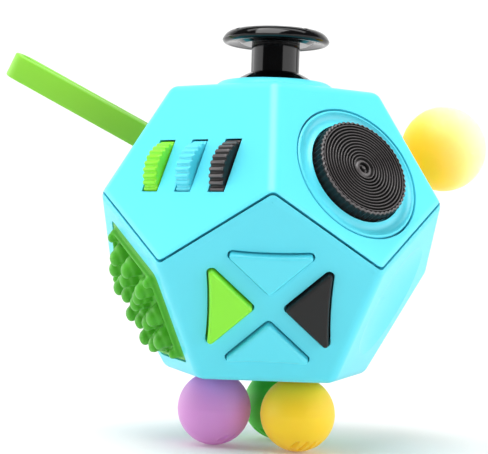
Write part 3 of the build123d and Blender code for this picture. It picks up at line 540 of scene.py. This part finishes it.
# half the width of the strap's outline and of its slot, and where they are, going round from the root
def strapRows():
    far, root = strap["reach"] - strap["farRadius"], strap["pivot"]
    lean = asin((strap["farRadius"] - strap["eyeRadius"]) / (far - root))
    rows = []
    for k in range(9):  # round the pin
        angle = -pi / 2 + (pi / 2 - lean) * k / 8
        rows.append(((strap["eyeRadius"] * cos(angle), root + strap["eyeRadius"] * sin(angle)),
                     (strap["pinRadius"] * cos(angle), root + strap["pinRadius"] * sin(angle))))
    for k in range(1, strap["rows"]):
        high = root + (far - root) * k / strap["rows"]
        outer = strap["eyeRadius"] + (strap["farRadius"] - strap["eyeRadius"]) * k / strap["rows"]
        pin = sqrt(max(0, strap["pinRadius"] ** 2 - (high - root) ** 2))
        past = (high - strap["openFrom"]) / (far - strap["openFrom"])
        opening = (strap["farRadius"] - strap["thick"]) * past
        rows.append(((outer, high), (max(strap["slit"], pin, opening), high)))
    for k in range(13):  # round the far end
        angle = pi / 2 * k / 12
        inner = strap["farRadius"] - strap["thick"]
        rows.append(((strap["farRadius"] * cos(angle), far + strap["farRadius"] * sin(angle)),
                     (inner * cos(angle), far + inner * sin(angle))))
    mirrored = [tuple((-x, z) for x, z in row) for row in reversed(rows[1:-1])]
    return rows + mirrored


# a band round the pin and the far end; its section is a slab with rounded corners
def pullStrap():
    half, soft = strap["width"] / 2, strap["edgeRound"]
    rings = []
    for outer, inner in strapRows():
        thick = hypot(outer[0] - inner[0], outer[1] - inner[1])
        r = min(soft, thick * 0.42)
        ring = []
        for corner, (side, along) in enumerate(((0, 1), (1, 1), (1, -1), (0, -1))):
            for k in range(5):
                angle = pi / 2 * (corner + k / 4) - pi
                reach = (thick - r if side else r) + r * cos(angle)
                share = reach / thick
                ring.append((inner[0] + (outer[0] - inner[0]) * share, along * (half - r) - r * sin(angle),
                             inner[1] + (outer[1] - inner[1]) * share))
        rings.append(ring)
    points, faces = ringMesh(rings, closed=True)
    place = faceFrame("strap") @ Matrix.Translation((0, strap["up"], 0))
    piece = meshPiece("pullStrap", points, faces, place, finishes["limeSilicone"], 70)
    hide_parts("strap_loop")
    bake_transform(piece)
    return piece


pullStrap()
print("strap")


pad = {"cornerRadius": 15.05, "cornerRound": 1.3, "across": -0.45, "up": -0.8, "lip": 0.9, "back": -3.25,
       "floor": 0.0, "ridgeIn": 1.3, "ridgeTop": 0.95, "ridgeWide": 0.45, "ridgeRound": 1.1,
       "innerReach": 4.6, "cornerReach": 8.9, "sideReach": 8.2, "tipReach": 12.4, "nubHeight": 3.3,
       "skirtHeight": 1.5, "skirtRadius": 2.0, "fingerRadius": 1.4, "smallNub": 0.62, "droop": 0.05,
       "voxel": 0.18, "cornerSteps": 7}


def pentagonRing(corner, soft, height):
    ring, steps = [], pad["cornerSteps"]
    for k in range(5):
        middle = radians(90 + 72 * k)
        reach = corner - soft / cos(radians(36))
        for j in range(steps):
            angle = middle + radians(-36 + 72 * j / (steps - 1))
            ring.append((reach * cos(middle) + soft * cos(angle),
                         reach * sin(middle) + soft * sin(angle), height))
    return ring


# across, up and size of each nub: one in the middle, rings of five and ten, a small one in each corner
def nubPlaces():
    places = [(0.0, 0.0, 1.0)]
    for k in range(10):
        angle = radians(90 + 36 * k)
        rings = [(pad["sideReach"], 1.0)]
        if k % 2 == 0:
            rings = [(pad["innerReach"], 1.0), (pad["cornerReach"], 1.0), (pad["tipReach"], pad["smallNub"])]
        places += [(reach * cos(angle), reach * sin(angle), size) for reach, size in rings]
    return places


def texturedPad():
    corner, soft, floor = pad["cornerRadius"], pad["cornerRound"], pad["floor"]
    ridge, bend = corner - pad["ridgeIn"], pad["ridgeRound"]
    inside, crest = ridge - pad["ridgeWide"], pad["ridgeTop"]
    tray = [pentagonRing(corner, soft, pad["back"]), pentagonRing(corner, soft, -0.3),
            pentagonRing(corner - 0.25, soft, -0.02), pentagonRing(corner - pad["lip"], soft, -0.02),
            pentagonRing(ridge, bend, 0.3), pentagonRing(ridge - 0.05, bend, crest - 0.2),
            pentagonRing(ridge - 0.25, bend, crest), pentagonRing(inside, bend - 0.1, crest),
            pentagonRing(inside - 0.25, bend - 0.1, crest - 0.3),
            pentagonRing(inside - 0.35, bend - 0.1, floor)]
    points, faces = ringMesh(tray)
    around = len(tray[0])
    faces += [list(range(around)), list(range(len(points) - around, len(points)))]
    high, skirt, wide, thin = pad["nubHeight"], pad["skirtHeight"], pad["skirtRadius"], pad["fingerRadius"]
    outline = splined([(wide + 0.1, -0.4), (wide, 0.2), (wide - 0.12, skirt * 0.6), (wide - 0.3, skirt),
                       (thin + 0.05, skirt + 0.3), (thin, skirt + 0.6), (thin * 0.88, high * 0.82),
                       (thin * 0.5, high * 0.96), (0, high)], 5)
    for x, y, size in nubPlaces():  # a wide skirt with a round finger that droops a little
        nubPoints, nubFaces = turned([(0, -0.4)] + [(r * size, z * size) for r, z in outline], 32)
        start = len(points)
        points += [(x + px, y + py - pad["droop"] * max(0, pz) ** 2, floor + pz) for px, py, pz in nubPoints]
        faces += [[i + start for i in face] for face in nubFaces]
    place = faceFrame("pad") @ Matrix.Translation((pad["across"], pad["up"], 0))
    piece = meshPiece("nubPad", points, faces, Matrix.Identity(4), finishes["greenSilicone"])
    melt = piece.modifiers.new("melt", "REMESH")  # one skin over the tray and the nubs, as it is moulded
    melt.mode = "VOXEL"
    melt.voxel_size = pad["voxel"]
    ease = piece.modifiers.new("ease", "SMOOTH")
    ease.factor = 0.5
    ease.iterations = 3
    bpy.context.view_layer.update()
    skin = bpy.data.meshes.new_from_object(piece.evaluated_get(bpy.context.evaluated_depsgraph_get()))
    piece.modifiers.clear()
    skin.transform(place)
    skin.shade_smooth()
    piece.data = skin
    piece.data.materials.clear()
    piece.data.materials.append(finishes["greenSilicone"])
    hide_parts("textured_pad")
    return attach(piece, "body")


texturedPad()
print("pad")


# the floor sweeps up into a wall behind the piece; it glows faintly, so shadows on it stay pale
studio = {"floorColour": "#DCDCDC", "floorShade": "#E0E0E0", "floorLit": 0.1, "floorHalf": 0.9,
          "wallPlace": 0.55, "bend": 0.25, "wallHeight": 0.9, "worldColour": "#FFFFFF", "worldStrength": 0.1}


def sweptFloor():
    half, wall, bend = studio["floorHalf"], studio["wallPlace"], studio["bend"]
    profile = [(-half, 0)]
    for k in range(17):
        angle = -pi / 2 + pi / 2 * k / 16
        profile.append((wall - bend + bend * cos(angle), bend + bend * sin(angle)))
    profile.append((wall, studio["wallHeight"]))
    points = [(x, y, z - 0.0001) for y, z in profile for x in (-half, half)]
    faces = [[2 * k, 2 * k + 1, 2 * k + 3, 2 * k + 2] for k in range(len(profile) - 1)]
    material, tree, shader = newMaterial("paintedBoard", {
        "Roughness": 0.8, "Emission Color": (1, 1, 1, 1), "Emission Strength": studio["floorLit"]})
    tone = addNode(tree, "ShaderNodeTexNoise", {"Scale": 4}, {
        "Vector": addNode(tree, "ShaderNodeTexCoord").outputs["Object"]})
    colour = addNode(tree, "ShaderNodeMix", {"data_type": "RGBA", 6: linear(studio["floorColour"]),
                                             7: linear(studio["floorShade"])}, {0: tone.outputs["Fac"]})
    tree.links.new(colour.outputs[2], shader.inputs["Base Color"])
    meshPiece("sweptFloor", points, faces, Matrix.Identity(4), material)


# wide panels at the sides give the bright flanks, a box above the left shoulder gives the shadows
lamps = {
    "topBox": {"place": (-0.09, -0.20, 0.62), "size": (0.45, 0.45), "power": 4.1},
    "leftBox": {"place": (-0.60, 0.10, 0.16), "size": (0.9, 0.5), "power": 3.5},
    "rightBox": {"place": (0.60, -0.14, 0.16), "size": (1.1, 0.5), "power": 4.1},
    "wallBox": {"place": (0.0, 0.1, 0.9), "size": (1.2, 0.3), "power": 2.9, "aim": (0, 0.55, 0.2)},
}


def softLight(name, lamp):
    light = bpy.data.lights.new(name, "AREA")
    light.shape = "RECTANGLE"
    light.size, light.size_y = lamp["size"]
    light.energy = lamp["power"]
    holder = bpy.data.objects.new(name, light)
    holder.location = lamp["place"]
    aim = Vector(lamp["aim"]) if "aim" in lamp else centre
    holder.rotation_euler = (aim - holder.location).to_track_quat("-Z", "Y").to_euler()
    bpy.context.scene.collection.objects.link(holder)


def studioWorld():
    world = bpy.data.worlds.new("paleRoom")
    world.use_nodes = True
    sky = world.node_tree.nodes["Background"]
    sky.inputs["Color"].default_value = linear(studio["worldColour"])
    tree = world.node_tree
    seen = addNode(tree, "ShaderNodeLightPath").outputs["Is Camera Ray"]
    strength = addNode(tree, "ShaderNodeMapRange", {"To Min": studio["worldStrength"], "To Max": 1},
                       {"Value": seen})  # plain white past the floor's edge, dim as a light
    tree.links.new(strength.outputs["Result"], sky.inputs["Strength"])
    bpy.context.scene.world = world


camera = {"place": (2.5, -263.85, 36.48), "aim": (1.01, 0.1, 40.03), "roll": 1.95, "lens": 105.3}


def placeCamera():
    eye = bpy.data.objects.new("camera", bpy.data.cameras.new("camera"))
    eye.data.lens = camera["lens"]
    eye.data.sensor_width = 36
    eye.data.clip_start = 0.01
    eye.location = Vector(camera["place"]) * mm
    look = (Vector(camera["aim"]) - Vector(camera["place"])).to_track_quat("-Z", "Y").to_matrix().to_4x4()
    turn = look @ Matrix.Rotation(radians(camera["roll"]), 4, "Z")
    eye.rotation_euler = turn.to_euler()
    bpy.context.scene.collection.objects.link(eye)
    bpy.context.scene.camera = eye


sweptFloor()
for name, lamp in lamps.items():
    softLight(name, lamp)
studioWorld()
placeCamera()
bpy.context.scene.view_settings.view_transform = "Standard"
print("studio")
